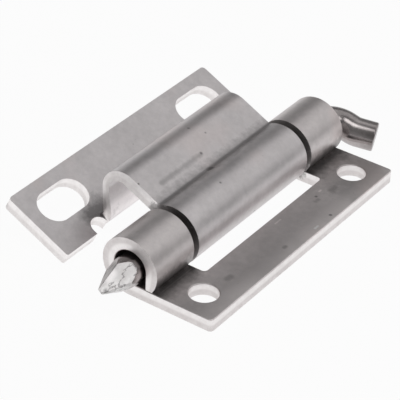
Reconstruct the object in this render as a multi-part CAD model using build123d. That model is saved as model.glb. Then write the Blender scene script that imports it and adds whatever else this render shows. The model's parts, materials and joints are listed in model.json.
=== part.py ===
from build123d import *
import math
import os

# Cranked lift-out hinge of two stamped steel leaves on a loose bent pin, in millimetres.
# The origin is on the plain leaf's underside, midway between its two screw holes.
# +X runs along the pin towards its bent head, +Y from the plain leaf to the offset leaf,
# +Z is up off the surface that the plain leaf lies on.

# Sheet and curl, shared by both leaves
SHEET = 2.5
LEAF_LENGTH = 60.0
BORE_RADIUS = 3.35
CURL_RADIUS = BORE_RADIUS + SHEET
SEAM_GAP = 0.05
CORNER_RADIUS = 0.8
EDGE_ROLL = 0.35

# Plain leaf: distances run from the pin's axis towards the outer edge
PLAIN_REACH = 17.5
PLAIN_WINDOW_EDGE = 8.4
PLAIN_WINDOW_CORNER = 0.8
KNUCKLE_LENGTH = 10.95
SCREW_HOLE_RADIUS = 2.75
SCREW_HOLE_FROM_END = 5.75
SCREW_HOLE_SPACING = LEAF_LENGTH - 2 * SCREW_HOLE_FROM_END
SCREW_HOLE_FROM_AXIS = 11.8

# Offset leaf in its own level frame: out from the pin's axis, and up off it
BARREL_END_GAP = 1.55
BARREL_LENGTH = LEAF_LENGTH - 2 * (KNUCKLE_LENGTH + BARREL_END_GAP)
CLOSED_GAP = 0.05
PLATEAU_TOP = CURL_RADIUS - SHEET - CLOSED_GAP
CRANK_OFFSET = 12.5
PLATE_TOP = PLATEAU_TOP - CRANK_OFFSET
PLATE_UNDER = PLATE_TOP - SHEET
PLATEAU_UNDER = PLATEAU_TOP - SHEET
OFFSET_REACH = 25.65
EAR_INNER = 10.7
GROOVE_RADIUS = 1.2
CREST_OUT = 16.26
CREST_OUTER_RADIUS = 4.5
CREST_INNER_RADIUS = 2.3
CREST_WALL = 1.45
WEB_OUTER_LEAN = 29.2
WEB_INNER_LEAN = 33.0
HEEL_OUTER_RADIUS = 3.05
HEEL_INNER_RADIUS = 0.8
CURL_END_GAP = 0.4
RELIEF_WIDTH = 3.9
RELIEF_DEPTH = 2.8
SLOT_LENGTH = 11.8
SLOT_WIDTH = 6.8
SLOT_FROM_END = 8.8
SLOT_SPACING = LEAF_LENGTH - 2 * SLOT_FROM_END
SLOT_FROM_AXIS = 19.6

# Loose pin: a bent head past one knuckle and a four-sided cut point past the other
PIN_RADIUS = 2.9
PIN_SEAT_GAP = 0.05
PIN_DROP = BORE_RADIUS - PIN_RADIUS - PIN_SEAT_GAP
HEAD_CORNER_OUT = 5.05
HEAD_BEND_RADIUS = 4.1
HEAD_TURN = 89.0
HEAD_DIP = 15.0
HEAD_NECK = 5.85
HEAD_END_BEND_RADIUS = 4.5
HEAD_END_TURN = 69.5
HEAD_END_DIP = 7.7
HEAD_END = 4.2
HEAD_CHAMFER = 0.3
POINT_START = 0.95
POINT_LENGTH = 7.25
POINT_EDGE_HALF_WIDTH = 0.6
POINT_EDGE_HALF_THICK = 0.3
POINT_TURN = 50.0

PIN_AXIS = (0, SCREW_HOLE_FROM_AXIS, CURL_RADIUS)


def polar(radius, degrees):
    """Point at a radius and angle in a leaf's section, about the pin's axis."""
    angle = math.radians(degrees)
    return (radius * math.cos(angle), radius * math.sin(angle))


def shifted(point, offset):
    """Section point moved by an offset."""
    return (point[0] + offset[0], point[1] + offset[1])


def rest_tilt():
    """Angle at which the offset leaf's inner lower edge touches the surface."""
    reach = math.hypot(EAR_INNER, PLATE_UNDER)
    start = math.degrees(math.atan2(PLATE_UNDER, EAR_INNER))
    return math.degrees(math.asin(-CURL_RADIUS / reach)) - start


def extrude_along_pin(outline, length):
    """Solid of a closed section, centred along the pin's axis."""
    face = make_face(Plane.YZ * outline)
    return extrude(face, amount=length / 2, both=True)


def plain_section():
    """Flat sheet that curls over the pin and comes down onto itself."""
    top = SHEET - CURL_RADIUS
    end_height = top + SEAM_GAP
    end_out = -math.sqrt(CURL_RADIUS**2 - end_height**2)
    under = Line((-PLAIN_REACH, -CURL_RADIUS), (0, -CURL_RADIUS))
    outer = ThreePointArc(under @ 1, (0, CURL_RADIUS), (end_out, end_height))
    end_face = Line(outer @ 1, (-BORE_RADIUS, end_height))
    end_wall = Line(end_face @ 1, (-BORE_RADIUS, 0))
    bore = ThreePointArc(end_wall @ 1, polar(BORE_RADIUS, 45), (0, top))
    plate = Line(bore @ 1, (-PLAIN_REACH, top))
    edge = Line(plate @ 1, under @ 0)
    return Curve() + [under, outer, end_face, end_wall, bore, plate, edge]


def plain_window():
    """Space between the knuckles, which the other leaf's barrel fills."""
    width = LEAF_LENGTH - 2 * KNUCKLE_LENGTH
    depth = PLAIN_WINDOW_EDGE + 2 * CURL_RADIUS
    centre = Pos(0, depth / 2 - PLAIN_WINDOW_EDGE, 0)
    block = centre * Box(width, depth, 4 * CURL_RADIUS)
    inner_edges = block.edges().filter_by(Axis.Z).group_by(Axis.Y)[0]
    return fillet(inner_edges, PLAIN_WINDOW_CORNER)


def screw_holes():
    """Two round holes through the plain leaf."""
    places = Locations((-SCREW_HOLE_SPACING / 2, -SCREW_HOLE_FROM_AXIS),
                       (SCREW_HOLE_SPACING / 2, -SCREW_HOLE_FROM_AXIS))
    return [place * Cylinder(SCREW_HOLE_RADIUS, 4 * CURL_RADIUS) for place in places]


def plain_leaf():
    """Flat leaf with a knuckle at each end."""
    leaf = extrude_along_pin(plain_section(), LEAF_LENGTH)
    corners = leaf.edges().filter_by(Axis.Z).group_by(Axis.Y)[0]
    leaf = fillet(corners, CORNER_RADIUS)
    leaf -= plain_window()
    for hole in screw_holes():
        leaf -= hole
    rims = leaf.edges().filter_by(GeomType.CIRCLE).filter_by(
        lambda edge: abs(edge.radius - SCREW_HOLE_RADIUS) < 0.001
        and abs(edge.center().Z - (SHEET - CURL_RADIUS)) < 0.001)
    leaf = fillet(rims, EDGE_ROLL)
    return Pos(*PIN_AXIS) * leaf


def lean_meets(point, lean, height):
    """Where a web line through a point, leaning out from upright, reaches a height."""
    return (point[0] + (height - point[1]) * math.tan(math.radians(lean)), height)


def crest_tangent(centre_out, centre_height, radius, lean):
    """Point where a web line leaves a bend of the crest."""
    return shifted(polar(radius, -lean), (centre_out, centre_height))


def offset_upper_chain():
    """Upper side of the offset leaf from its back edge to the groove at the barrel."""
    crest = (CREST_OUT - CREST_OUTER_RADIUS, PLATEAU_TOP - CREST_OUTER_RADIUS)
    leaves = crest_tangent(*crest, CREST_OUTER_RADIUS, WEB_OUTER_LEAN)
    heel_corner = lean_meets(leaves, WEB_OUTER_LEAN, PLATE_TOP)
    crest_corner = lean_meets(leaves, WEB_OUTER_LEAN, PLATEAU_TOP)
    groove_height = PLATEAU_TOP + GROOVE_RADIUS
    groove_out = math.sqrt((CURL_RADIUS + GROOVE_RADIUS)**2 - groove_height**2)
    groove_angle = math.degrees(math.atan2(groove_height, groove_out))
    upper = FilletPolyline((OFFSET_REACH, PLATE_TOP), heel_corner, crest_corner,
                           (groove_out, PLATEAU_TOP),
                           radius=[HEEL_INNER_RADIUS, CREST_OUTER_RADIUS])
    middle_angle = (270 + 180 + groove_angle) / 2
    centre = (groove_out, groove_height)
    groove = ThreePointArc(upper @ 1,
                           shifted(polar(GROOVE_RADIUS, middle_angle), centre),
                           polar(CURL_RADIUS, groove_angle))
    return upper, groove, centre, groove_angle


def offset_lower_chain(groove_out):
    """Underside of the offset leaf from the barrel's neck to its back edge."""
    crest_out = CREST_OUT - CREST_WALL - CREST_INNER_RADIUS
    crest = (crest_out, PLATEAU_UNDER - CREST_INNER_RADIUS)
    leaves = crest_tangent(*crest, CREST_INNER_RADIUS, WEB_INNER_LEAN)
    crest_corner = lean_meets(leaves, WEB_INNER_LEAN, PLATEAU_UNDER)
    heel_corner = lean_meets(leaves, WEB_INNER_LEAN, PLATE_UNDER)
    return FilletPolyline((groove_out, PLATEAU_UNDER), crest_corner, heel_corner,
                          (OFFSET_REACH, PLATE_UNDER),
                          radius=[CREST_INNER_RADIUS, HEEL_OUTER_RADIUS])


def offset_section():
    """Section of the offset leaf: plate, web, crest, plateau, groove and barrel."""
    upper, groove, centre, groove_angle = offset_upper_chain()
    lower = offset_lower_chain(centre[0])
    end_height = PLATEAU_UNDER - CURL_END_GAP
    end_out = math.sqrt(CURL_RADIUS**2 - end_height**2)
    outer = ThreePointArc(groove @ 1, (-CURL_RADIUS, 0), (end_out, end_height))
    end_face = Line(outer @ 1, (BORE_RADIUS, end_height))
    end_wall = Line(end_face @ 1, (BORE_RADIUS, 0))
    bore = ThreePointArc(end_wall @ 1, (-BORE_RADIUS, 0), polar(BORE_RADIUS, groove_angle))
    neck_radius = GROOVE_RADIUS + SHEET
    middle_angle = (270 + 180 + groove_angle) / 2
    neck = ThreePointArc(bore @ 1, shifted(polar(neck_radius, middle_angle), centre),
                         lower @ 0)
    back = Line(lower @ 1, upper @ 0)
    return Curve() + [upper, groove, outer, end_face, end_wall, bore, neck, lower, back]


def offset_ears():
    """Flat plate of the offset leaf either side of the neck, with relief notches."""
    depth = OFFSET_REACH - EAR_INNER
    middle = Pos(0, EAR_INNER + depth / 2, PLATE_TOP - SHEET / 2)
    plate = middle * Box(LEAF_LENGTH, depth, SHEET)
    notch_radius = RELIEF_WIDTH / 2
    straight = RELIEF_DEPTH - notch_radius
    for side in (-1, 1):
        across = side * (BARREL_LENGTH / 2 + notch_radius)
        round_end = Pos(across, EAR_INNER + straight, PLATE_TOP) * Cylinder(
            notch_radius, 4 * SHEET)
        mouth = Pos(across, EAR_INNER, PLATE_TOP) * Box(
            RELIEF_WIDTH, 2 * straight, 4 * SHEET)
        plate = plate - round_end - mouth
    neck_gap = Pos(0, EAR_INNER, PLATE_TOP) * Box(
        BARREL_LENGTH, 2 * (OFFSET_REACH - EAR_INNER) - 2 * SHEET, 4 * SHEET)
    return plate - neck_gap


def mounting_slots():
    """Two obround holes that let the offset leaf slide along its screws."""
    slots = []
    for side in (-1, 1):
        face = Plane.XY * SlotOverall(SLOT_LENGTH, SLOT_WIDTH)
        cutter = extrude(face, amount=2 * SHEET, both=True)
        slots.append(Pos(side * SLOT_SPACING / 2, SLOT_FROM_AXIS, PLATE_TOP) * cutter)
    return slots


def offset_leaf():
    """Cranked leaf with one barrel, tilted to where it rests on the surface."""
    leaf = extrude_along_pin(offset_section(), BARREL_LENGTH) + offset_ears()
    for slot in mounting_slots():
        leaf -= slot
    leaf = leaf.clean()
    back_corners = leaf.edges().filter_by(Axis.Z).group_by(Axis.Y)[-1]
    leaf = fillet(back_corners, CORNER_RADIUS)
    return Pos(*PIN_AXIS) * Rot(rest_tilt(), 0, 0) * leaf


def head_direction(turn, dip):
    """Direction of a run of the head: turned off the shank, and dipped off the level."""
    turn = math.radians(turn)
    dip = math.radians(dip)
    return Vector(math.cos(turn), -math.sin(turn) * math.cos(dip),
                  -math.sin(turn) * math.sin(dip))


def pin_path():
    """Centre line of the shank and of the head with its two bends."""
    knuckle_end = LEAF_LENGTH / 2
    start = Vector(-knuckle_end - POINT_START, 0, 0)
    corner = Vector(knuckle_end + HEAD_CORNER_OUT, 0, 0)
    end_corner = corner + head_direction(HEAD_TURN, HEAD_DIP) * HEAD_NECK
    tip = end_corner + head_direction(HEAD_END_TURN, HEAD_END_DIP) * HEAD_END
    return FilletPolyline(start, corner, end_corner, tip,
                          radius=[HEAD_BEND_RADIUS, HEAD_END_BEND_RADIUS])


def pin_point():
    """Four-sided cut point with a short chisel edge."""
    root = -LEAF_LENGTH / 2 - POINT_START
    blank = Pos(root - POINT_LENGTH / 2, 0, 0) * Rot(0, 90, 0) * Cylinder(
        PIN_RADIUS, POINT_LENGTH)
    root_plane = Plane((root, 0, 0), x_dir=(0, 1, 0), z_dir=(-1, 0, 0))
    tip_plane = root_plane.offset(POINT_LENGTH)
    wide = root_plane * Rectangle(2 * PIN_RADIUS, 2 * PIN_RADIUS)
    narrow = tip_plane * Rectangle(2 * POINT_EDGE_HALF_THICK, 2 * POINT_EDGE_HALF_WIDTH)
    wedge = Rot(-POINT_TURN, 0, 0) * loft([wide.face(), narrow.face()])
    return blank & wedge


def hinge_pin():
    """Loose pin lying on the bottom of the knuckles' bores."""
    path = pin_path()
    section = Plane(path @ 0, z_dir=path % 0) * Circle(PIN_RADIUS)
    rod = sweep(section, path=path)
    end_face = rod.faces().sort_by(Axis.Y)[0]
    rod = chamfer(end_face.edges(), HEAD_CHAMFER)
    pin = rod + pin_point()
    return Pos(PIN_AXIS[0], PIN_AXIS[1], PIN_AXIS[2] - PIN_DROP) * pin


def main():
    """Writes one STEP file for each piece."""
    os.makedirs("parts", exist_ok=True)
    pieces = {"plain_leaf": plain_leaf(), "offset_leaf": offset_leaf(), "hinge_pin": hinge_pin()}
    for name, piece in pieces.items():
        piece.label = name
        export_step(piece, f"parts/{name}.step")
    print(f"rest tilt {rest_tilt():.3f} degrees")


main()
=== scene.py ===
"""Looks of a cranked lift-out hinge: two stamped steel leaves on a loose bent pin."""

import json
import logging
import math
from dataclasses import dataclass, replace
from enum import Enum
from typing import Callable, Sequence

import bmesh
import bpy
from mathutils import Matrix, Vector


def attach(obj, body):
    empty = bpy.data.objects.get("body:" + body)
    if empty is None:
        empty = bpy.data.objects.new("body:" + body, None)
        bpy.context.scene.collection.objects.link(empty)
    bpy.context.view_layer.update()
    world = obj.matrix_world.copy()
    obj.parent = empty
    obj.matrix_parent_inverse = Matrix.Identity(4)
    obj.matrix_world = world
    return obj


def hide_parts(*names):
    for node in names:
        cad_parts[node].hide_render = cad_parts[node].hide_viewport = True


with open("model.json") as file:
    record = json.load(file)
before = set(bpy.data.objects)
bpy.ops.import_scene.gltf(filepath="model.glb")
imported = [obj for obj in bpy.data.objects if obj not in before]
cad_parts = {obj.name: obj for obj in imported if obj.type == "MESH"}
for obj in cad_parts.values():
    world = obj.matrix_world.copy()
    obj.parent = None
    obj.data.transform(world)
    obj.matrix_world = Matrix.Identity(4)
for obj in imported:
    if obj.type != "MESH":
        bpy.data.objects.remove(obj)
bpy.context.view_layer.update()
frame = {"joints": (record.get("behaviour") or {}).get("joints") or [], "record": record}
LOG = logging.getLogger("hinge")

MM = 0.001
DEPTH = "sheet_depth"
SHEARED = "sheared"
TOUCH = 0.004 * MM
SQUARE_ON = 0.9
ROLL_FACETS = 4
WHITE = (1, 1, 1)

Point2 = tuple[float, float]
Point3 = tuple[float, float, float]
Colour = tuple[float, float, float]
Value = bpy.types.NodeSocket | float | Sequence[float]
FaceTest = Callable[[bmesh.types.BMFace], bool]
EdgeTest = Callable[[bmesh.types.BMEdge], bool]


class Side(Enum):
    """Left or right half of the hinge along the pin."""

    LEFT = -1
    RIGHT = 1


class Part(Enum):
    """CAD nodes that the modelled pieces stand for."""

    PLAIN = "plain_leaf"
    OFFSET = "offset_leaf"
    PIN = "hinge_pin"


def joint(name: str) -> dict:
    """The frame's joint of a name."""
    return next(row for row in frame["joints"] if row["name"] == name)


def body_of(part: Part) -> str:
    """Name of the body that a CAD node rides on."""
    groups = frame["record"]["behaviour"]["bodies"]
    return next(body for body, nodes in groups.items() if part.value in nodes)


AXIS = Vector(joint("leaf_hinge")["pos_m"])


def arc(centre: Point2, radius: float, start: float, end: float, steps: int) -> list[Point2]:
    """Points along an arc in the hinge's cross-section.

    Args:
        centre: Middle of the arc, out from the pin and up.
        radius: Radius in metres.
        start: First angle in degrees.
        end: Last angle in degrees.
        steps: Number of equal steps.

    Returns:
        The points, first and last included.
    """
    points = []
    for step in range(steps + 1):
        angle = math.radians(start + (end - start) * step / steps)
        points.append((centre[0] + radius * math.cos(angle), centre[1] + radius * math.sin(angle)))
    return points


class Workpiece:
    """A mesh that is shaped in edit mode, one operator at a time."""

    def __init__(self, piece: bpy.types.Object) -> None:
        """Takes an object that was just added."""
        self.piece = piece

    @classmethod
    def block(cls, name: str, low: Sequence[float], high: Sequence[float]) -> "Workpiece":
        """Adds a box between two corners.

        Args:
            name: Name of the new object.
            low: Lowest corner in metres.
            high: Highest corner in metres.

        Returns:
            The box as a workpiece.
        """
        cls.clear_selection()
        middle = [(a + b) / 2 for a, b in zip(low, high)]
        bpy.ops.mesh.primitive_cube_add(size=1, location=middle)
        piece = bpy.context.object
        piece.name = name
        piece.scale = [b - a for a, b in zip(low, high)]
        bpy.ops.object.transform_apply(location=True, rotation=True, scale=True)
        return cls(piece)

    @classmethod
    def rod(cls, name: str, radius: float, start: Vector, end: Vector, sides: int) -> "Workpiece":
        """Adds a round bar between two points.

        Args:
            name: Name of the new object.
            radius: Radius in metres.
            start: Middle of the first end.
            end: Middle of the other end.
            sides: Number of flats around it.

        Returns:
            The bar as a workpiece.
        """
        cls.clear_selection()
        along = end - start
        turn = Vector((0, 0, 1)).rotation_difference(along).to_euler()
        bpy.ops.mesh.primitive_cylinder_add(vertices=sides, radius=radius, depth=along.length,
                                            location=(start + end) / 2, rotation=turn)
        piece = bpy.context.object
        piece.name = name
        bpy.ops.object.transform_apply(location=True, rotation=True, scale=True)
        return cls(piece)

    @staticmethod
    def clear_selection() -> None:
        """Leaves edit mode, whichever piece is in it, and selects nothing."""
        active = bpy.context.view_layer.objects.active
        if active is not None and active.mode == "EDIT":
            bpy.ops.object.mode_set(mode="OBJECT")
        bpy.ops.object.select_all(action="DESELECT")

    def activate(self) -> None:
        """Makes this the only selected object."""
        self.clear_selection()
        self.piece.select_set(True)
        bpy.context.view_layer.objects.active = self.piece

    def open(self) -> bmesh.types.BMesh:
        """Enters edit mode with nothing selected and returns the live mesh."""
        if self.piece.mode != "EDIT":
            self.activate()
            bpy.ops.object.mode_set(mode="EDIT")
        bpy.ops.mesh.select_mode(type="FACE")
        bpy.ops.mesh.select_all(action="DESELECT")
        return bmesh.from_edit_mesh(self.piece.data)

    def close(self) -> None:
        """Leaves edit mode."""
        if self.piece.mode == "EDIT":
            bpy.ops.object.mode_set(mode="OBJECT")

    def pick_faces(self, test: FaceTest) -> int:
        """Selects the faces that pass a test and returns how many there are."""
        mesh = self.open()
        chosen = [face for face in mesh.faces if test(face)]
        for face in chosen:
            face.select_set(True)
        mesh.select_flush_mode()
        bmesh.update_edit_mesh(self.piece.data)
        return len(chosen)

    def pick_edges(self, test: EdgeTest) -> int:
        """Selects the edges that pass a test and returns how many there are."""
        self.open()
        bpy.ops.mesh.select_mode(type="EDGE")
        mesh = bmesh.from_edit_mesh(self.piece.data)
        chosen = [edge for edge in mesh.edges if test(edge)]
        for edge in chosen:
            edge.select_set(True)
        bmesh.update_edit_mesh(self.piece.data)
        return len(chosen)

    def score(self, place: Sequence[float], normal: Sequence[float]) -> None:
        """Cuts a line of edges where a plane passes through the piece."""
        self.open()
        bpy.ops.mesh.select_all(action="SELECT")
        bpy.ops.mesh.bisect(plane_co=place, plane_no=normal, use_fill=False)

    def slice_off(self, place: Vector, normal: Vector) -> None:
        """Cuts away what lies on a plane's outer side and closes the cut."""
        self.open()
        bpy.ops.mesh.select_all(action="SELECT")
        bpy.ops.mesh.bisect(plane_co=place, plane_no=normal, use_fill=True, clear_outer=True)

    def extrude_by(self, test: FaceTest, move: Sequence[float]) -> None:
        """Extrudes the faces that pass a test by a straight move."""
        self.pick_faces(test)
        bpy.ops.mesh.extrude_region_move(TRANSFORM_OT_translate={"value": tuple(move)})

    def roll_sheet(self, test: FaceTest, upper: list[Point2], lower: list[Point2]) -> None:
        """Extrudes an end of the sheet from station to station along its section.

        Args:
            test: Picks the faces at the sheet's present end.
            upper: Upper side of each station, out from the pin and up.
            lower: Lower side of each station. The first pair is where the sheet ends now.
        """
        self.pick_faces(test)
        for index in range(1, len(upper)):
            bpy.ops.mesh.extrude_region_move()
            mesh = bmesh.from_edit_mesh(self.piece.data)
            before = (upper[index - 1], lower[index - 1])
            after = (upper[index], lower[index])
            for vert in (v for v in mesh.verts if v.select):
                here = (vert.co.y, vert.co.z)
                nearest = min((0, 1), key=lambda k: math.dist(here, before[k]))
                vert.co.y, vert.co.z = after[nearest]
            bmesh.update_edit_mesh(self.piece.data)

    def swing(self, centre: Vector, axis: Vector, angle: float, steps: int) -> None:
        """Extrudes what is selected round an axis.

        Args:
            centre: Point on the axis.
            axis: Direction of the axis.
            angle: Full turn in radians, right-handed.
            steps: Number of equal steps.
        """
        turn = Matrix.Rotation(angle / steps, 4, axis)
        step_move = Matrix.Translation(centre) @ turn @ Matrix.Translation(-centre)
        for _ in range(steps):
            bpy.ops.mesh.extrude_region_move()
            mesh = bmesh.from_edit_mesh(self.piece.data)
            for vert in (v for v in mesh.verts if v.select):
                vert.co = step_move @ vert.co
            bmesh.update_edit_mesh(self.piece.data)

    def follow(self, test: FaceTest, path: Sequence[Vector], radii: Sequence[float],
               steps: int) -> None:
        """Extrudes the faces that pass a test along a path with rounded corners.

        Args:
            test: Picks the end face, which lies at the path's first point.
            path: Start, corners and end.
            radii: Bend radius at each corner.
            steps: Number of steps round each bend.
        """
        self.pick_faces(test)
        here = path[0]
        for corner, after, radius in zip(path[1:], path[2:], radii):
            along = (corner - here).normalized()
            onward = (after - corner).normalized()
            angle = along.angle(onward)
            tangent = corner - along * radius * math.tan(angle / 2)
            bpy.ops.mesh.extrude_region_move(
                TRANSFORM_OT_translate={"value": tuple(tangent - here)})
            inward = (onward - along * along.dot(onward)).normalized()
            self.swing(tangent + inward * radius, along.cross(onward).normalized(), angle, steps)
            here = corner + onward * radius * math.tan(angle / 2)
        bpy.ops.mesh.extrude_region_move(TRANSFORM_OT_translate={"value": tuple(path[-1] - here)})

    def cut(self, cutter: "Workpiece") -> None:
        """Cuts another workpiece's shape out of this one and discards it."""
        self.combine(cutter, "DIFFERENCE")

    def weld(self, other: "Workpiece") -> None:
        """Joins another workpiece's shape to this one and discards it."""
        self.combine(other, "UNION")

    def combine(self, other: "Workpiece", operation: str) -> None:
        """Combines two workpieces by a boolean.

        Args:
            other: The second shape, which is used up.
            operation: Name of the boolean operation.
        """
        other.close()
        modifier = self.piece.modifiers.new("combine", "BOOLEAN")
        modifier.operation = operation
        modifier.solver = "EXACT"
        modifier.object = other.piece
        self.apply(modifier)
        bpy.data.objects.remove(other.piece, do_unlink=True)

    def apply(self, modifier: bpy.types.Modifier) -> None:
        """Applies one modifier to the mesh."""
        self.activate()
        bpy.ops.object.modifier_apply(modifier=modifier.name)

    def round_edges(self, test: EdgeTest, width: float, segments: int) -> int:
        """Bevels the edges that pass a test.

        Args:
            test: Picks the edges.
            width: Width of the rounding in metres.
            segments: Number of facets across it.

        Returns:
            How many edges were picked.
        """
        count = self.pick_edges(test)
        if count:
            bpy.ops.mesh.bevel(offset=width, offset_type="OFFSET", segments=segments,
                               profile=0.5, affect="EDGES", clamp_overlap=True)
        return count

    def tidy_mesh(self) -> None:
        """Merges doubles and turns the faces outwards."""
        self.open()
        bpy.ops.mesh.select_all(action="SELECT")
        bpy.ops.mesh.remove_doubles(threshold=TOUCH)
        bpy.ops.mesh.normals_make_consistent(inside=False)

    def turn_about_axis(self, degrees: float) -> None:
        """Turns the whole piece about the pin's axis, right-handed about +X."""
        self.open()
        bpy.ops.mesh.select_all(action="SELECT")
        bpy.ops.transform.rotate(value=-math.radians(degrees), orient_axis="X",
                                 center_override=(0, 0, 0))

    def move(self, offset: Sequence[float]) -> None:
        """Moves the whole piece."""
        self.open()
        bpy.ops.mesh.select_all(action="SELECT")
        bpy.ops.transform.translate(value=tuple(offset))

    def smooth(self, degrees: float) -> None:
        """Shades the piece smooth, with creases over an angle and its flat faces kept flat."""
        self.close()
        self.activate()
        bpy.ops.object.shade_smooth_by_angle(angle=math.radians(degrees))
        flats = self.piece.modifiers.new("flats", "WEIGHTED_NORMAL")
        flats.keep_sharp = True
        self.apply(flats)


class SheetMarks:
    """Stores how deep in the sheet each point lies, and which faces were sheared."""

    ON_TOP = 0.02
    NEAR_SIDE = 0.05
    MIDDLE = 0.5

    def __init__(self, upper: list[Point2], lower: list[Point2]) -> None:
        """Takes the two sides of the sheet's section."""
        self.upper = upper
        self.lower = lower

    @staticmethod
    def distance(point: Point2, chain: list[Point2]) -> float:
        """Shortest distance from a point to a chain of short straight runs."""
        best = math.inf
        for (ay, az), (by, bz) in zip(chain, chain[1:]):
            dy, dz = by - ay, bz - az
            length = dy * dy + dz * dz
            part = ((point[0] - ay) * dy + (point[1] - az) * dz) / length if length else 0.0
            part = min(1.0, max(0.0, part))
            best = min(best, math.hypot(point[0] - ay - part * dy, point[1] - az - part * dz))
        return best

    def depth(self, point: Point2) -> float:
        """Depth from the upper side, 0, to the lower side, 1."""
        over = self.distance(point, self.upper)
        under = self.distance(point, self.lower)
        return over / (over + under) if over + under else 0.0

    def on_roll_line(self, edge: bmesh.types.BMEdge) -> bool:
        """Tells whether an edge joins the sheet's upper side to a sheared wall."""
        if len(edge.link_faces) != 2:
            return False
        if any(self.depth((v.co.y, v.co.z)) > self.ON_TOP for v in edge.verts):
            return False
        flat = [self.is_skin(face) for face in edge.link_faces]
        return flat.count(True) == 1

    def is_skin(self, face: bmesh.types.BMFace) -> bool:
        """Tells whether a face lies in the sheet's upper or lower side."""
        depths = [self.depth((v.co.y, v.co.z)) for v in face.verts]
        return max(depths) < self.NEAR_SIDE or min(depths) > 1 - self.NEAR_SIDE

    def store(self, work: Workpiece) -> None:
        """Writes the depth of each point and the mark of each sheared face."""
        work.close()
        data = work.piece.data
        depths = [self.depth((v.co.y, v.co.z)) for v in data.vertices]
        layer = data.attributes.new(DEPTH, "FLOAT", "POINT")
        layer.data.foreach_set("value", depths)
        marks = data.attributes.new(SHEARED, "FLOAT", "FACE")
        values = []
        for face in data.polygons:
            ends = [depths[i] for i in face.vertices]
            values.append(float(min(ends) < self.MIDDLE < max(ends)))
        marks.data.foreach_set("value", values)


@dataclass(frozen=True)
class Grain:
    """Noise pattern: how fine it is, its octaves and how rough they are."""

    scale: float
    detail: float
    rough: float


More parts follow.
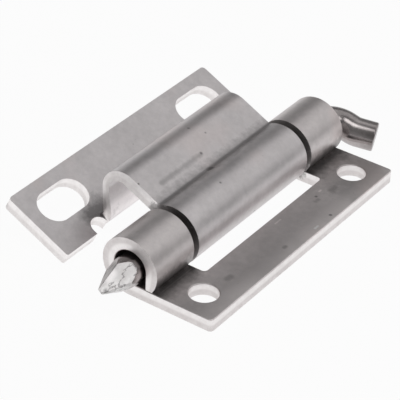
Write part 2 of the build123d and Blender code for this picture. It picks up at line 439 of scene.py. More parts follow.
class Net:
    """Short names for the nodes that the finishes use."""

    RARITY = 0.66
    TEAR_STRETCH = (0.30, 1.0, 1.0)

    def __init__(self, tree: bpy.types.NodeTree) -> None:
        """Takes a node tree and empties it."""
        self.tree = tree
        tree.nodes.clear()

    def add(self, kind: str) -> bpy.types.Node:
        """Adds a node of a kind."""
        return self.tree.nodes.new(kind)

    def link(self, value: Value, socket: bpy.types.NodeSocket) -> None:
        """Links a socket, or sets a number or colour."""
        if isinstance(value, bpy.types.NodeSocket):
            self.tree.links.new(value, socket)
        elif isinstance(value, (int, float)):
            socket.default_value = value
        else:
            socket.default_value = (*value, 1.0) if len(socket.default_value) == 4 else tuple(value)

    def math(self, kind: str, a: Value, b: Value = 0.0) -> bpy.types.NodeSocket:
        """Adds a math node of a kind."""
        node = self.add("ShaderNodeMath")
        node.operation = kind
        self.link(a, node.inputs[0])
        self.link(b, node.inputs[1])
        return node.outputs[0]

    def plus(self, a: Value, b: Value) -> bpy.types.NodeSocket:
        """Sum of two values."""
        return self.math("ADD", a, b)

    def times(self, a: Value, b: Value) -> bpy.types.NodeSocket:
        """Product of two values."""
        return self.math("MULTIPLY", a, b)

    def scaled(self, a: Value, factor: float) -> bpy.types.NodeSocket:
        """A value times a number."""
        return self.math("MULTIPLY", a, factor)

    def centred(self, a: Value) -> bpy.types.NodeSocket:
        """A value from 0 to 1, moved to lie about 0."""
        return self.math("SUBTRACT", a, 0.5)

    def span(self, value: Value, low: float, high: float) -> bpy.types.NodeSocket:
        """Stretches a value from a low to a high bound onto 0 to 1, clamped."""
        node = self.add("ShaderNodeMapRange")
        self.link(value, node.inputs["Value"])
        node.inputs["From Min"].default_value = low
        node.inputs["From Max"].default_value = high
        return node.outputs["Result"]

    def mix(self, factor: Value, a: Value, b: Value, kind: str = "MIX") -> bpy.types.NodeSocket:
        """Mixes two colours."""
        node = self.add("ShaderNodeMix")
        node.data_type = "RGBA"
        node.blend_type = kind
        self.link(factor, node.inputs[0])
        self.link(a, node.inputs[6])
        self.link(b, node.inputs[7])
        return node.outputs[2]

    def blend_value(self, factor: Value, a: Value, b: Value) -> bpy.types.NodeSocket:
        """Mixes two numbers."""
        node = self.add("ShaderNodeMix")
        node.data_type = "FLOAT"
        self.link(factor, node.inputs[0])
        self.link(a, node.inputs[2])
        self.link(b, node.inputs[3])
        return node.outputs[0]

    def multiply(self, a: Value, b: Value) -> bpy.types.NodeSocket:
        """Product of two colours."""
        return self.mix(1.0, a, b, "MULTIPLY")

    def attribute(self, name: str) -> bpy.types.NodeSocket:
        """Reads a stored number of the mesh."""
        node = self.add("ShaderNodeAttribute")
        node.attribute_name = name
        return node.outputs["Fac"]

    def noise(self, place: Value, grain: Grain) -> bpy.types.NodeSocket:
        """Adds a noise pattern."""
        node = self.add("ShaderNodeTexNoise")
        self.link(place, node.inputs["Vector"])
        node.inputs["Scale"].default_value = grain.scale
        node.inputs["Detail"].default_value = grain.detail
        node.inputs["Roughness"].default_value = grain.rough
        return node.outputs["Fac"]

    def pits(self, place: Value, scale: float, size: float) -> bpy.types.NodeSocket:
        """Adds sparse round spots, 1 in a spot and 0 outside."""
        node = self.add("ShaderNodeTexVoronoi")
        self.link(place, node.inputs["Vector"])
        node.inputs["Scale"].default_value = scale
        near = self.span(node.outputs["Distance"], size * 2, size)
        rare = self.math("GREATER_THAN", self.noise(place, Grain(scale / 3, 1, 0.5)), self.RARITY)
        return self.times(near, rare)

    def capsule(self, place: Value, middle: Sequence[float], half: float) -> bpy.types.NodeSocket:
        """Distance from a straight run along the pin.

        Args:
            place: Coordinates.
            middle: Middle of the run in metres.
            half: Half its length in metres.

        Returns:
            The distance socket.
        """
        offset = self.add("ShaderNodeVectorMath")
        offset.operation = "SUBTRACT"
        self.link(place, offset.inputs[0])
        offset.inputs[1].default_value = middle
        parts = self.add("ShaderNodeSeparateXYZ")
        self.link(offset.outputs[0], parts.inputs[0])
        beyond = self.math("MAXIMUM", self.plus(self.math("ABSOLUTE", parts.outputs["X"]), -half))
        across = self.add("ShaderNodeCombineXYZ")
        for value, name in ((beyond, "X"), (parts.outputs["Y"], "Y"), (parts.outputs["Z"], "Z")):
            self.link(value, across.inputs[name])
        length = self.add("ShaderNodeVectorMath")
        length.operation = "LENGTH"
        self.link(across.outputs[0], length.inputs[0])
        return length.outputs["Value"]

    def tears(self, place: Value, scale: float, width: float) -> bpy.types.NodeSocket:
        """Adds thin ragged lines that follow a noise, 1 on a line and 0 beside it."""
        stretch = self.add("ShaderNodeMapping")
        stretch.inputs["Scale"].default_value = self.TEAR_STRETCH
        self.link(place, stretch.inputs["Vector"])
        level = self.noise(stretch.outputs[0], Grain(scale, 5, 0.62))
        gap = self.math("ABSOLUTE", self.centred(level))
        return self.span(gap, width, width * 0.25)


@dataclass(frozen=True)
class Mark:
    """A soft capsule that lies along the pin, used for smudges, ticks and bands of grime, and for
    bands of painted shade and painted highlight.

    Attributes:
        place: Middle, in millimetres of the shared frame.
        reach: Distance at which it has faded out, in millimetres.
        tone: What it multiplies the steel by, below 1 for dark.
        half: Half its straight length, in millimetres.
        core: Share of the reach that has the full tone.
    """

    place: Point3
    reach: float
    tone: float
    half: float = 0.0
    core: float = 0.3

    def lay(self, net: Net, place: Value, ragged: Value, colour: Value) -> Value:
        """Multiplies a colour by the mark.

        Args:
            net: Node helper of the material.
            place: Object coordinates.
            ragged: Noise that makes the outline uneven.
            colour: Colour under the mark.

        Returns:
            The marked colour.
        """
        gap = net.capsule(place, [c * MM for c in self.place], self.half * MM)
        gap = net.plus(gap, net.scaled(net.centred(ragged), self.reach * MM))
        mask = net.span(gap, self.reach * MM, self.reach * self.core * MM)
        return net.multiply(colour, net.mix(mask, WHITE, [self.tone] * 3))


@dataclass(frozen=True)
class Tear:
    """One size of tear lines on a cut face: their scale, width, strength and colour."""

    scale: float
    width: float
    share: float
    colour: Colour


TEARS = (Tear(150, 0.07, 0.4, (0.42, 0.40, 0.40)), Tear(290, 0.02, 0.8, (0.16, 0.15, 0.15)))
EDGE_SHADE = (0.88, 0.87, 0.87)
PIT_SHADE = 0.3


@dataclass(frozen=True)
class SteelFinish:
    """Satin steel with cloudy mottling, grain, pits and sheared edges.

    Attributes:
        name: Name of the material.
        colour: Reflectance of the rolled skin.
        roughness: Roughness of the rolled skin.
        cloud: How much the cloudy patches darken it.
        mottle: How much the fine mottling darkens it.
        pits: How dark the sparse pits are.
        stain: Tint of the faint stains.
        burnish: Reflectance of the smooth band of a sheared edge.
        fracture: Reflectance of the torn band.
        burnish_share: Share of the sheet's thickness that is smooth.
        scuffs: How strongly cut faces show fine dark tears.
        edge_roughness: Roughness of the smooth band.
        torn_roughness: How much rougher the torn band is.
        swing: How much the cloudy patches change the skin's roughness.
        relief: Height of the fine grain in metres.
        skin_grain: Strength of the fine grain on the skin.
        edge_grain: Strength of the fine grain on sheared edges.
        marks: Marks on the rolled skin: grime smudges and ticks, and bands of painted shade and
            painted highlight.
        painted_edge_shading: Painted shade and painted highlights on the sheared edges.
    """

    name: str
    colour: Colour
    roughness: float = 0.41
    cloud: float = 0.12
    mottle: float = 0.10
    pits: float = 0.8
    stain: Colour = (0.72, 0.62, 0.60)
    burnish: Colour = (0.92, 0.90, 0.89)
    fracture: Colour = (0.76, 0.73, 0.725)
    burnish_share: float = 0.5
    scuffs: float = 0.0
    edge_roughness: float = 0.38
    torn_roughness: float = 0.15
    swing: float = 0.20
    relief: float = 0.06 * MM
    skin_grain: float = 0.18
    edge_grain: float = 0.45
    marks: tuple[Mark, ...] = ()
    painted_edge_shading: tuple[Mark, ...] = ()

    def build(self) -> bpy.types.Material:
        """Builds the material's nodes."""
        material = bpy.data.materials.new(self.name)
        material.use_nodes = True
        net = Net(material.node_tree)
        place = net.add("ShaderNodeTexCoord").outputs["Object"]
        clouds = net.noise(place, Grain(110, 5, 0.62))
        mottle = net.noise(place, Grain(700, 4, 0.7))
        fine = net.noise(place, Grain(2400, 3, 0.7))
        sheared = net.attribute(SHEARED)
        skin = self.skin(net, place, clouds, mottle)
        band = self.tear_line(net, net.attribute(DEPTH), mottle)
        edge = self.edge(net, place, band, mottle)
        # Lays grime and ticks, and bands of painted shade and painted highlight, on the skin.
        for mark in self.marks:
            skin = mark.lay(net, place, mottle, skin)
        # Lays painted shade in the gaps between knuckles, and the pin point's painted highlight and
        # painted shadow, on the cut faces.
        for mark in self.painted_edge_shading:
            edge = mark.lay(net, place, mottle, edge)
        shader = net.add("ShaderNodeBsdfPrincipled")
        shader.inputs["Metallic"].default_value = 1.0
        net.link(net.mix(sheared, skin, edge), shader.inputs["Base Color"])
        rough_skin = net.plus(net.scaled(net.centred(clouds), self.swing), self.roughness)
        rough_edge = net.plus(net.scaled(band, self.torn_roughness), self.edge_roughness)
        net.link(net.blend_value(sheared, rough_skin, rough_edge), shader.inputs["Roughness"])
        height = net.plus(net.scaled(fine, 0.4), mottle)
        bump = net.add("ShaderNodeBump")
        bump.inputs["Distance"].default_value = self.relief
        grain = net.blend_value(sheared, self.skin_grain, self.edge_grain)
        net.link(grain, bump.inputs["Strength"])
        net.link(height, bump.inputs["Height"])
        net.link(bump.outputs["Normal"], shader.inputs["Normal"])
        out = net.add("ShaderNodeOutputMaterial")
        net.link(shader.outputs[0], out.inputs["Surface"])
        return material

    def skin(self, net: Net, place: Value, clouds: Value, mottle: Value) -> Value:
        """Colour of the rolled skin.

        Args:
            net: Node helper of the material.
            place: Object coordinates.
            clouds: Coarse noise.
            mottle: Fine noise.

        Returns:
            The colour socket.
        """
        dark = [c * (1 - self.cloud) for c in self.colour]
        tone = net.mix(net.span(clouds, 0.36, 0.62), dark, self.colour)
        speck = [1 - self.mottle] * 3
        tone = net.multiply(tone, net.mix(net.span(mottle, 0.35, 0.65), speck, WHITE))
        patches = net.noise(place, Grain(60, 2, 0.5))
        tone = net.mix(net.scaled(net.span(patches, 0.60, 0.72), 0.35), tone, self.stain)
        spots = net.pits(place, scale=420, size=0.09)
        dark_pit = [c * PIT_SHADE for c in self.colour]
        return net.mix(net.scaled(spots, self.pits), tone, dark_pit)

    def tear_line(self, net: Net, depth: Value, mottle: Value) -> Value:
        """Mask of the torn band, ragged where it meets the smooth one."""
        ragged = net.plus(depth, net.scaled(net.centred(mottle), 0.30))
        return net.span(ragged, self.burnish_share - 0.06, self.burnish_share + 0.10)

    def edge(self, net: Net, place: Value, band: Value, mottle: Value) -> Value:
        """Colour of a sheared or cut face, with its tears."""
        tone = net.mix(band, self.burnish, self.fracture)
        tone = net.multiply(tone, net.mix(net.span(mottle, 0.30, 0.60), EDGE_SHADE, WHITE))
        for tear in TEARS if self.scuffs else ():
            lines = net.tears(place, tear.scale, tear.width)
            tone = net.mix(net.scaled(lines, self.scuffs * tear.share), tone, tear.colour)
        return tone


@dataclass
class PlainLeaf:
    """Flat leaf: a bar whose two ends curl over the pin as knuckles."""

    finish: SteelFinish
    sheet: float = 2.5 * MM
    length: float = 60.0 * MM
    bore: float = 3.35 * MM
    reach: float = 17.5 * MM
    window_edge: float = 8.4 * MM
    knuckle: float = 10.95 * MM
    seam: float = 0.05 * MM
    corner: float = 0.8 * MM
    roll: float = 0.2 * MM
    hole_radius: float = 2.75 * MM
    hole_from_axis: float = 11.8 * MM
    hole_from_end: float = 5.75 * MM
    curl_steps: int = 56
    lip_steps: int = 7
    corner_facets: int = 5
    hole_sides: int = 72
    crease: float = 28.0

    @property
    def outer(self) -> float:
        """Outer radius of the knuckles."""
        return self.bore + self.sheet

    def curl(self) -> tuple[list[Point2], list[Point2]]:
        """Upper and lower side of the sheet from the window's edge to the free end."""
        top = self.sheet - self.outer
        end = top + self.seam
        upper = [(-self.window_edge, top), (0, top)]
        lower = [(-self.window_edge, -self.outer), (0, -self.outer)]
        upper += arc((0, 0), self.bore, -90, 180, self.curl_steps)[1:]
        lower += arc((0, 0), self.outer, -90, 180, self.curl_steps)[1:]
        lip = math.degrees(math.asin(-end / self.outer))
        drop = arc((0, 0), self.outer, 180, 180 + lip, self.lip_steps)[1:]
        lower += drop
        upper += [(-self.bore, height) for _, height in drop]
        return upper, lower

    def build(self) -> Workpiece:
        """Models the leaf about the pin's axis, then sets it in its place."""
        half = self.length / 2
        window = half - self.knuckle
        top = self.sheet - self.outer
        work = Workpiece.block("plain_leaf_sheet", (-half, -self.reach, -self.outer),
                               (half, -self.window_edge, top))
        for side in Side:
            work.score((side.value * window, 0, 0), (1, 0, 0))
        upper, lower = self.curl()
        work.roll_sheet(lambda face: self.is_shoulder(face, window), upper, lower)
        work.tidy_mesh()
        marks = SheetMarks([(-self.reach, top)] + upper, [(-self.reach, -self.outer)] + lower)
        for across, out in ((half, -self.reach), (window, -self.window_edge)):
            work.round_edges(lambda edge: self.is_upright(edge, across, out),
                             self.corner, self.corner_facets)
        for side in Side:
            work.cut(self.hole_cutter(side.value * (half - self.hole_from_end)))
        work.round_edges(marks.on_roll_line, self.roll, ROLL_FACETS)
        work.tidy_mesh()
        marks.store(work)
        work.move(AXIS)
        work.smooth(self.crease)
        return work

    @staticmethod
    def is_shoulder(face: bmesh.types.BMFace, window: float) -> bool:
        """Tells whether a face is the sheet's end beside the window."""
        middle = face.calc_center_median()
        return face.normal.y > SQUARE_ON and abs(middle.x) > window

    @staticmethod
    def is_upright(edge: bmesh.types.BMEdge, across: float, out: float) -> bool:
        """Tells whether an edge stands upright at a corner of the bar."""
        a, b = (v.co for v in edge.verts)
        upright = abs(a.x - b.x) < TOUCH and abs(a.y - b.y) < TOUCH
        return upright and abs(abs(a.x) - across) < TOUCH and abs(a.y - out) < TOUCH

    def hole_cutter(self, across: float) -> Workpiece:
        """Round bar that cuts a screw hole."""
        low = Vector((across, -self.hole_from_axis, -2 * self.outer))
        high = Vector((across, -self.hole_from_axis, 0))
        return Workpiece.rod("hole_cutter", self.hole_radius, low, high, self.hole_sides)


@dataclass
class OffsetLeaf:
    """Cranked leaf: plate, web, crest, plateau and one barrel about the pin."""

    finish: SteelFinish
    sheet: float = 2.5 * MM
    length: float = 60.0 * MM
    bore: float = 3.35 * MM
    barrel: float = 35.0 * MM
    plateau_top: float = 3.3 * MM
    crank: float = 12.5 * MM
    reach: float = 25.65 * MM
    ear_inner: float = 10.7 * MM
    flat_from: float = 14.3 * MM
    groove: float = 1.2 * MM
    crest_out: float = 16.26 * MM
    crest_outer: float = 4.5 * MM
    crest_inner: float = 2.3 * MM
    crest_wall: float = 1.45 * MM
    outer_lean: float = 29.2
    inner_lean: float = 33.0
    heel_outer: float = 3.05 * MM
    heel_inner: float = 0.8 * MM
    end_gap: float = 0.4 * MM
    relief_width: float = 3.9 * MM
    relief_depth: float = 2.8 * MM
    slot_length: float = 11.8 * MM
    slot_width: float = 6.8 * MM
    slot_from_axis: float = 19.6 * MM
    slot_from_end: float = 8.8 * MM
    corner: float = 0.8 * MM
    bend_steps: int = 14
    web_steps: int = 6
    curl_steps: int = 64
    corner_facets: int = 5
    ear_facets: int = 4
    relief_sides: int = 48
    slot_sides: int = 72
    crease: float = 28.0

    @property
    def outer(self) -> float:
        """Outer radius of the barrel."""
        return self.bore + self.sheet

    @property
    def plate_top(self) -> float:
        """Height of the plate's upper side from the pin's axis."""
        return self.plateau_top - self.crank

    @property
    def tilt(self) -> float:
        """Angle at which the leaf's inner lower edge touches the surface."""
        under = self.plate_top - self.sheet
        start = math.atan2(under, self.ear_inner)
        return math.degrees(math.asin(-self.outer / math.hypot(self.ear_inner, under)) - start)

    def bend(self, corner: Point2, radius: float, lean: float, at_heel: bool) -> list[Point2]:
        """Arc that rounds a corner between the level and the leaning web.

        Args:
            corner: Where the level line and the web's line would meet.
            radius: Radius of the bend.
            lean: Lean of the web from upright, in degrees.
            at_heel: True at the plate, False at the crest.

        Returns:
            The points, in the order from the plate to the plateau.
        """
        back = radius / math.tan(math.radians((90 - lean) / 2))
        if at_heel:
            centre = (corner[0] + back, corner[1] + radius)
            return arc(centre, radius, 270, 180 - lean, self.bend_steps)
        centre = (corner[0] - back, corner[1] - radius)
        return arc(centre, radius, -lean, 90, self.bend_steps)

    def web_corner(self, centre_out: float, centre_height: float, radius: float, lean: float,
                   height: float) -> Point2:
        """Where the web's side that leaves a crest bend reaches a height."""
        angle = math.radians(lean)
        out = centre_out + radius * math.cos(angle)
        up = centre_height - radius * math.sin(angle)
        return (out + (height - up) * math.tan(angle), height)

    def side_of_web(self, out: float, radius: float, lean: float, heel: float, top: float,
                    plate: float) -> tuple[list[Point2], list[Point2]]:
        """Heel bend and crest bend of one side of the web.

        Args:
            out: How far the bend at the crest reaches out from the pin.
            radius: Radius of that bend.
            lean: Lean of the web's side, in degrees.
            heel: Radius of the bend at the plate.
            top: Height of the plateau's side.
            plate: Height of the plate's side.

        Returns:
            The points of the heel bend and of the crest bend.
        """
        centre = (out - radius, top - radius)
        low = self.web_corner(*centre, radius, lean, plate)
        high = self.web_corner(*centre, radius, lean, top)
        return self.bend(low, heel, lean, True), self.bend(high, radius, lean, False)

    def section(self) -> tuple[list[Point2], list[Point2]]:
        """Upper and lower side of the sheet from the plate to the barrel's free end."""
        under = self.plateau_top - self.sheet
        plate_under = self.plate_top - self.sheet
        up_heel, up_crest = self.side_of_web(self.crest_out, self.crest_outer, self.outer_lean,
                                             self.heel_inner, self.plateau_top, self.plate_top)
        low_heel, low_crest = self.side_of_web(self.crest_out - self.crest_wall,
                                               self.crest_inner, self.inner_lean,
                                               self.heel_outer, under, plate_under)
        upper = [(self.flat_from, self.plate_top)] + up_heel
        lower = [(self.flat_from, plate_under)] + low_heel
        for step in range(1, self.web_steps):
            part = step / self.web_steps
            upper.append(self.between(up_heel[-1], up_crest[0], part))
            lower.append(self.between(low_heel[-1], low_crest[0], part))
        upper += up_crest
        lower += low_crest
        height = self.plateau_top + self.groove
        out = math.sqrt((self.outer + self.groove) ** 2 - height ** 2)
        angle = math.degrees(math.atan2(height, out))
        upper += arc((out, height), self.groove, 270, 180 + angle, self.bend_steps)
        lower += arc((out, height), self.groove + self.sheet, 270, 180 + angle, self.bend_steps)
        upper += arc((0, 0), self.outer, angle, 360, self.curl_steps)[1:]
        lower += arc((0, 0), self.bore, angle, 360, self.curl_steps)[1:]
        end = under - self.end_gap
        upper.append((math.sqrt(self.outer ** 2 - end ** 2), end))
        lower.append((self.bore, end))
        return upper, lower

    @staticmethod
    def between(a: Point2, b: Point2, part: float) -> Point2:
        """Point part of the way from one point to another."""
        return (a[0] + (b[0] - a[0]) * part, a[1] + (b[1] - a[1]) * part)

    def build(self) -> Workpiece:
        """Models the leaf level about the pin's axis, then tilts it to its rest."""
        half = self.length / 2
        neck = self.barrel / 2
        plate_under = self.plate_top - self.sheet
        work = Workpiece.block("offset_leaf_sheet", (-half, self.flat_from, plate_under),
                               (half, self.reach, self.plate_top))
        for side in Side:
            work.score((side.value * neck, 0, 0), (1, 0, 0))
        upper, lower = self.section()
        work.roll_sheet(lambda face: self.is_front(face) and self.middle(face) < neck,
                        upper, lower)
        work.tidy_mesh()
        for side in Side:
            work.weld(self.ear(side, neck, plate_under))
        for out, radius, facets in ((self.reach, self.corner, self.corner_facets),
                                    (self.ear_inner, self.corner / 2, self.ear_facets)):
            work.round_edges(lambda edge: PlainLeaf.is_upright(edge, half, out), radius, facets)
        for side in Side:
            work.cut(self.relief_cutter(side))
            work.cut(self.slot_cutter(side))
        chain_up = [(self.reach, self.plate_top), (self.ear_inner, self.plate_top)]
        chain_low = [(self.reach, plate_under), (self.ear_inner, plate_under)]
        marks = SheetMarks(chain_up + [upper[0]] + upper, chain_low + [lower[0]] + lower)
        work.tidy_mesh()
        marks.store(work)
        work.turn_about_axis(self.tilt)
        work.move(AXIS)
        work.smooth(self.crease)
        return work

    def ear(self, side: Side, neck: float, plate_under: float) -> Workpiece:
        """Block that carries the flat plate on beside the neck.

        Args:
            side: Which ear.
            neck: Half the neck's width.
            plate_under: Height of the plate's underside.

        Returns:
            The block as a workpiece.
        """
        ends = sorted((side.value * neck, side.value * self.length / 2))
        return Workpiece.block("ear", (ends[0], self.ear_inner, plate_under),
                               (ends[1], self.flat_from + self.sheet, self.plate_top))

    def is_front(self, face: bmesh.types.BMFace) -> bool:
        """Tells whether a face is the plate's end towards the pin."""
        return face.normal.y < -SQUARE_ON and abs(face.calc_center_median().y - self.flat_from) < TOUCH

    @staticmethod
    def middle(face: bmesh.types.BMFace) -> float:
        """Distance of a face's middle from the hinge's own middle, along the pin."""
        return abs(face.calc_center_median().x)

    def relief_cutter(self, side: Side) -> Workpiece:
        """Bar with a round end that cuts the notch beside the neck."""
        radius = self.relief_width / 2
        across = side.value * (self.barrel / 2 + radius)
        round_at = self.ear_inner + self.relief_depth - radius
        low = self.plate_top - 2 * self.sheet
        high = self.plate_top + self.sheet
        work = Workpiece.rod("relief_cutter", radius, Vector((across, round_at, low)),
                             Vector((across, round_at, high)), self.relief_sides)
        mesh = work.open()
        for vert in (v for v in mesh.verts if v.co.y < round_at - TOUCH):
            vert.co.y = self.ear_inner - radius
            vert.co.x = across + math.copysign(radius, vert.co.x - across)
        bmesh.update_edit_mesh(work.piece.data)
        bpy.ops.mesh.select_all(action="SELECT")
        bpy.ops.mesh.remove_doubles(threshold=TOUCH)
        return work

    def slot_cutter(self, side: Side) -> Workpiece:
        """Obround bar that cuts a mounting slot."""
        radius = self.slot_width / 2
        across = side.value * (self.length / 2 - self.slot_from_end)
        low = Vector((across, self.slot_from_axis, self.plate_top - 2 * self.sheet))
        high = Vector((across, self.slot_from_axis, self.plate_top + self.sheet))
        work = Workpiece.rod("slot_cutter", radius, low, high, self.slot_sides)
        work.score((across, 0, 0), (1, 0, 0))
        stretch = self.slot_length / 2 - radius
        mesh = bmesh.from_edit_mesh(work.piece.data)
        for vert in mesh.verts:
            if abs(vert.co.x - across) > TOUCH:
                vert.co.x += math.copysign(stretch, vert.co.x - across)
        bmesh.update_edit_mesh(work.piece.data)
        return work


@dataclass
class HingePin:
    """Loose pin: straight shank, bent head and four-sided cut point."""

    finish: SteelFinish
    radius: float = 2.9 * MM
    bore: float = 3.35 * MM
    seat_gap: float = 0.05 * MM
    knuckle_end: float = 30.0 * MM
    corner_out: float = 5.05 * MM
    bend_radius: float = 4.1 * MM
    turn: float = 89.0
    dip: float = 15.0
    neck: float = 5.85 * MM
    end_bend_radius: float = 4.5 * MM
    end_turn: float = 69.5
    end_dip: float = 7.7
    end: float = 4.2 * MM
    ridge_ease: float = 0.14 * MM
    chamfer: float = 0.3 * MM
    point_start: float = 0.95 * MM
    point_length: float = 7.25 * MM
    edge_half_width: float = 0.6 * MM
    edge_half_thick: float = 0.3 * MM
    point_turn: float = 50.0
    sides: int = 72
    bend_steps: int = 20
    ridge_facets: int = 2
    chamfer_facets: int = 3
    ridge_angle: float = 0.6
    cut_share: float = 0.985
    crease: float = 32.0

    def build(self) -> Workpiece:
        """Models the pin on its own axis, then lays it in the knuckles' bores."""
        start = Vector((-self.knuckle_end - self.point_start, 0, 0))
        end = Vector((self.knuckle_end, 0, 0))
        work = Workpiece.rod("hinge_pin_rod", self.radius, start, end, self.sides)
        self.cut_point(work, start)
        work.round_edges(self.is_ridge, self.ridge_ease, self.ridge_facets)
        self.bend_head(work, end)
        work.tidy_mesh()
        self.mark_cuts(work, start)
        drop = self.bore - self.radius - self.seat_gap
        work.move(AXIS - Vector((0, 0, drop)))
        work.smooth(self.crease)
        return work

    @staticmethod
    def direction(turn: float, dip: float) -> Vector:
        """Direction of a run of the head, turned off the shank and dipped off the level."""
        turn, dip = math.radians(turn), math.radians(dip)
        return Vector((math.cos(turn), -math.sin(turn) * math.cos(dip),
                       -math.sin(turn) * math.sin(dip)))

    def bend_head(self, work: Workpiece, end: Vector) -> None:
        """Carries the shank's end through the two bends of the head."""
        corner = end + Vector((self.corner_out, 0, 0))
        end_corner = corner + self.direction(self.turn, self.dip) * self.neck
        along = self.direction(self.end_turn, self.end_dip)
        tip = end_corner + along * self.end
        work.follow(lambda face: face.normal.x > SQUARE_ON, (end, corner, end_corner, tip),
                    (self.bend_radius, self.end_bend_radius), self.bend_steps)
        work.round_edges(lambda edge: all((v.co - tip).dot(along) > -TOUCH for v in edge.verts),
                         self.chamfer, self.chamfer_facets)

    def cut_point(self, work: Workpiece, root: Vector) -> None:
        """Extrudes the shank's other end and slices its four facets."""
        work.extrude_by(lambda face: face.normal.x < -SQUARE_ON, (-self.point_length, 0, 0))
        tip = root.x - self.point_length
        turn = math.radians(self.point_turn)
        broad = Vector((0, -math.cos(turn), math.sin(turn)))
        narrow = Vector((0, math.sin(turn), math.cos(turn)))
        for across, at_tip in ((broad, self.edge_half_thick), (narrow, self.edge_half_width)):
            for sign in (-1, 1):
                on_root = Vector((root.x, 0, 0)) + across * self.radius * sign
                on_tip = Vector((tip, 0, 0)) + across * at_tip * sign
                along = (on_tip - on_root).normalized()
                outward = (across * sign) - along * (across * sign).dot(along)
                work.slice_off(on_root, outward.normalized())

    def is_ridge(self, edge: bmesh.types.BMEdge) -> bool:
        """Tells whether an edge parts two facets of the point."""
        return (len(edge.link_faces) == 2
                and all(-SQUARE_ON < face.normal.x < -0.2 for face in edge.link_faces)
                and edge.calc_face_angle(0.0) > self.ridge_angle)

    def mark_cuts(self, work: Workpiece, root: Vector) -> None:
        """Marks the faces of the cut point for their own finish."""
        work.close()
        data = work.piece.data
        marks = data.attributes.new(SHEARED, "FLOAT", "FACE")
        flat = [face.center.x < root.x - self.seat_gap
                and math.hypot(face.center.y, face.center.z) < self.radius * self.cut_share
                for face in data.polygons]
        marks.data.foreach_set("value", [float(mark) for mark in flat])


@dataclass(frozen=True)
class SoftBox:
    """Square soft box that faces the hinge.

    Attributes:
        name: Name of the lamp.
        place: Where it stands, in metres.
        size: Side of its square.
        power: Power in watts.
    """

    name: str
    place: Point3
    size: float
    power: float

    def build(self) -> None:
        """Adds the lamp."""
        lamp = bpy.data.lights.new(self.name, "AREA")
        lamp.size = self.size
        lamp.energy = self.power
        holder = bpy.data.objects.new(self.name, lamp)
        holder.location = self.place
        holder.rotation_euler = (-Vector(self.place)).to_track_quat("-Z", "Y").to_euler()
        bpy.context.scene.collection.objects.link(holder)


SOFT_BOXES = (
    SoftBox("high_box", (0.41, -0.17, 0.42), 0.62, 0.62),
    SoftBox("low_box", (0.42, -0.36, 0.27), 0.30, 0.02),
    SoftBox("back_box", (0.33, 0.50, 0.12), 0.30, 0.10),
    SoftBox("front_box", (-0.04, -0.35, 0.42), 0.26, 0.34),
    SoftBox("top_box", (-0.10, 0.01, 0.60), 0.24, 0.36),
)


@dataclass
class Studio:
    """Pale floor, soft lamps and the camera."""

    eye: Point3 = (-0.25598, -0.15328, 0.20943)
    turn: Point3 = (55.9332, -2.2769, -54.6800)
    lens: float = 180.214
    floor_half: float = 3.0
    floor_drop: float = 0.05 * MM
    floor_tone: float = 0.9
    floor_glow: float = 0.95
    low_tone: float = 0.36
    high_tone: float = 0.22
    backdrop: float = 0.965

    def build(self) -> None:
        """Builds the floor, the world, the lamps and the camera."""
        self.add_floor()
        self.add_world()
        for box in SOFT_BOXES:
            box.build()
        self.add_camera()

    def add_floor(self) -> None:
        """Adds a wide pale floor that the camera sees as white."""
        Workpiece.clear_selection()
        bpy.ops.mesh.primitive_plane_add(size=2 * self.floor_half,
                                         location=(0, 0, -self.floor_drop))
        floor = bpy.context.object
        floor.name = "floor"
        material = bpy.data.materials.new("pale_floor")
        material.use_nodes = True
        net = Net(material.node_tree)
        rays = net.add("ShaderNodeLightPath").outputs
        seen = net.math("MAXIMUM", rays["Is Camera Ray"], rays["Is Glossy Ray"])
        seen = net.math("MAXIMUM", seen, rays["Is Transmission Ray"])
        matt = net.add("ShaderNodeBsdfDiffuse")
        matt.inputs["Color"].default_value = (*[self.floor_tone] * 3, 1)
        glow = net.add("ShaderNodeEmission")
        glow.inputs["Color"].default_value = (1, 1, 1, 1)
        glow.inputs["Strength"].default_value = 1.0
        both = net.add("ShaderNodeMixShader")
        net.link(net.scaled(seen, self.floor_glow), both.inputs[0])
        net.link(matt.outputs[0], both.inputs[1])
        net.link(glow.outputs[0], both.inputs[2])
        out = net.add("ShaderNodeOutputMaterial")
        net.link(both.outputs[0], out.inputs["Surface"])
        floor.data.materials.append(material)

    def add_world(self) -> None:
        """Adds a soft surround, darker low down and lighter overhead."""
        world = bpy.data.worlds.new("surround")
        bpy.context.scene.world = world
        world.use_nodes = True
        net = Net(world.node_tree)
        place = net.add("ShaderNodeTexCoord").outputs["Generated"]
        parts = net.add("ShaderNodeSeparateXYZ")
        net.link(place, parts.inputs[0])
        height = net.span(parts.outputs["Z"], 0.08, 0.50)
        tone = net.mix(height, [self.low_tone] * 3, [self.high_tone] * 3)
        rays = net.add("ShaderNodeLightPath")
        colour = net.mix(rays.outputs["Is Camera Ray"], tone, [self.backdrop] * 3)
        back = net.add("ShaderNodeBackground")
        net.link(colour, back.inputs["Color"])
        out = net.add("ShaderNodeOutputWorld")
        net.link(back.outputs[0], out.inputs["Surface"])

    def add_camera(self) -> None:
        """Adds the camera at the photograph's place and lens."""
        data = bpy.data.cameras.new("camera")
        data.sensor_width = 36.0
        data.lens = self.lens
        data.clip_start = 0.01
        holder = bpy.data.objects.new("camera", data)
        holder.location = self.eye
        holder.rotation_euler = [math.radians(angle) for angle in self.turn]
        bpy.context.scene.collection.objects.link(holder)
        bpy.context.scene.camera = holder


def at_both_ends(mark: Mark) -> tuple[Mark, Mark]:
    """A mark and its mirror image at the other end of the pin."""
    x, y, z = mark.place
    return mark, replace(mark, place=(-x, y, z))


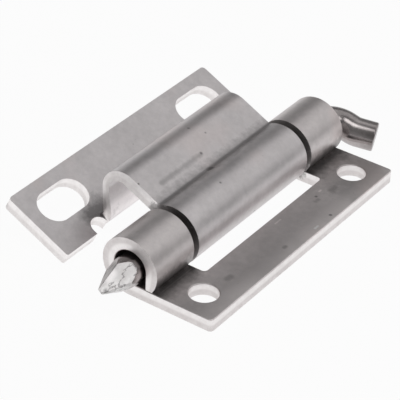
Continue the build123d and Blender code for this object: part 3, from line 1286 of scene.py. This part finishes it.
PLAIN_MARKS_AND_PAINTED_SHADE = (
    # Painted shade and grime in the crease where each knuckle's curl comes down on the plate.
    *at_both_ends(Mark((24.5, 5.95, 2.6), 3.2, 0.42, half=5.5, core=0.12)),
    # Painted shade on each knuckle's lower side, next to the plate.
    *at_both_ends(Mark((24.5, 6.3, 4.2), 2.2, 0.70, half=5.5, core=0.2)),
    # Lighter towards the plate's front edge, all along it.
    Mark((0.0, -5.8, 2.5), 3.4, 1.30, half=30.0, core=0.10),
    # Darker over a wide patch of the plate before the knuckle at +x.
    Mark((25.0, -1.0, 2.5), 9.0, 0.82, half=2.0, core=0.25),
    # Light ticks.
    Mark((-24.2, 5.8, 2.5), 0.16, 1.35, half=4.6),
    Mark((15.2, 1.3, 2.5), 0.30, 1.35, half=0.3),
    Mark((4.7, -4.6, 2.5), 0.28, 1.35, half=0.5),
    Mark((1.8, 1.9, 2.5), 0.22, 1.30, half=0.9),
    # Dark smudges of grime.
    Mark((17.2, -0.3, 2.5), 1.1, 0.72, half=0.5),
    Mark((12.1, 0.0, 2.5), 0.7, 0.74, half=0.4),
    Mark((-4.1, -3.5, 2.5), 0.6, 0.68, half=0.2),
    Mark((-17.9, -0.9, 2.5), 0.9, 0.76, half=0.4),
)
# Painted shade: darkens the knuckles' cut ends in the gaps beside the barrel.
PLAIN_PAINTED_GAP_SHADE = at_both_ends(Mark((19.05, 11.8, 5.85), 7.0, 0.55, core=0.85))
# Painted highlight on an upper facet of the pin's point, then painted shadow near its tip.
PIN_PAINTED_HIGHLIGHT_AND_SHADOW = (Mark((-35.4, 12.1, 7.1), 1.3, 1.34, half=0.5, core=0.4),
             Mark((-37.6, 11.2, 5.4), 0.7, 0.45, core=0.2))
OFFSET_MARKS_AND_PAINTED_LIGHT = (
    # Painted shade along the groove where the plateau meets the barrel.
    Mark((0.0, 14.7, 11.0), 2.0, 0.64, half=17.5, core=0.15),
    # Painted reflection of the floor: lightens the web's underside along the neck.
    Mark((0.0, 25.4, 4.6), 2.7, 1.36, half=17.5, core=0.45),
    # Dark smudges and spots.
    Mark((-7.2, 17.5, 12.3), 0.75, 0.72, half=6.0, core=0.2),
    Mark((-0.9, 17.6, 12.3), 0.42, 0.45),
    Mark((-2.6, 14.3, 11.1), 0.70, 0.50, half=0.3),
    Mark((-5.5, 10.1, 11.4), 0.32, 0.45),
    Mark((-17.3, 19.6, 13.3), 0.28, 0.20),
    Mark((3.8, 20.0, 13.5), 0.30, 0.50),
    Mark((1.9, 22.5, 14.4), 0.36, 0.55),
    # Painted shade, with dirt, on the plate at the notch by the heel's bend.
    Mark((-17.2, 28.6, 3.8), 3.4, 0.45, half=1.5, core=0.2),
)
# Painted shade: darkens the barrel's cut ends in the gaps beside the knuckles.
OFFSET_PAINTED_GAP_SHADE = at_both_ends(Mark((17.5, 11.8, 5.85), 6.9, 0.55, core=0.85))


def dress(work: Workpiece, part: Part, finish: SteelFinish) -> None:
    """Gives a piece its finish and sets it on its body.

    Args:
        work: The modelled piece.
        part: The CAD node that it stands for.
        finish: Its steel.
    """
    work.close()
    work.piece.data.materials.clear()
    work.piece.data.materials.append(finish.build())
    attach(work.piece, body_of(part))
    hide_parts(part.value)
    LOG.info("%s: %d faces", work.piece.name, len(work.piece.data.polygons))


def main() -> None:
    """Builds the stage and the three pieces in order."""
    logging.basicConfig(level=logging.INFO, format="%(name)s %(message)s")
    bpy.context.scene.view_settings.view_transform = "Standard"
    Studio().build()
    plain_steel = SteelFinish("plain_leaf_steel", (0.715, 0.672, 0.668),
                              burnish=(0.90, 0.87, 0.865), fracture=(0.80, 0.765, 0.76),
                              marks=PLAIN_MARKS_AND_PAINTED_SHADE, painted_edge_shading=PLAIN_PAINTED_GAP_SHADE)
    offset_steel = SteelFinish("offset_leaf_steel", (0.715, 0.680, 0.684),
                               burnish=(0.97, 0.94, 0.935), fracture=(0.90, 0.87, 0.865),
                               marks=OFFSET_MARKS_AND_PAINTED_LIGHT, painted_edge_shading=OFFSET_PAINTED_GAP_SHADE)
    pin_steel = SteelFinish("pin_steel", (0.50, 0.46, 0.455), roughness=0.22, cloud=0.45,
                            burnish=(0.74, 0.725, 0.72), burnish_share=2.0, scuffs=0.9,
                            painted_edge_shading=PIN_PAINTED_HIGHLIGHT_AND_SHADOW)
    makers = {Part.PLAIN: PlainLeaf(plain_steel), Part.OFFSET: OffsetLeaf(offset_steel),
              Part.PIN: HingePin(pin_steel)}
    for part, maker in makers.items():
        dress(maker.build(), part, maker.finish)


if __name__ == "__main__":
    main()
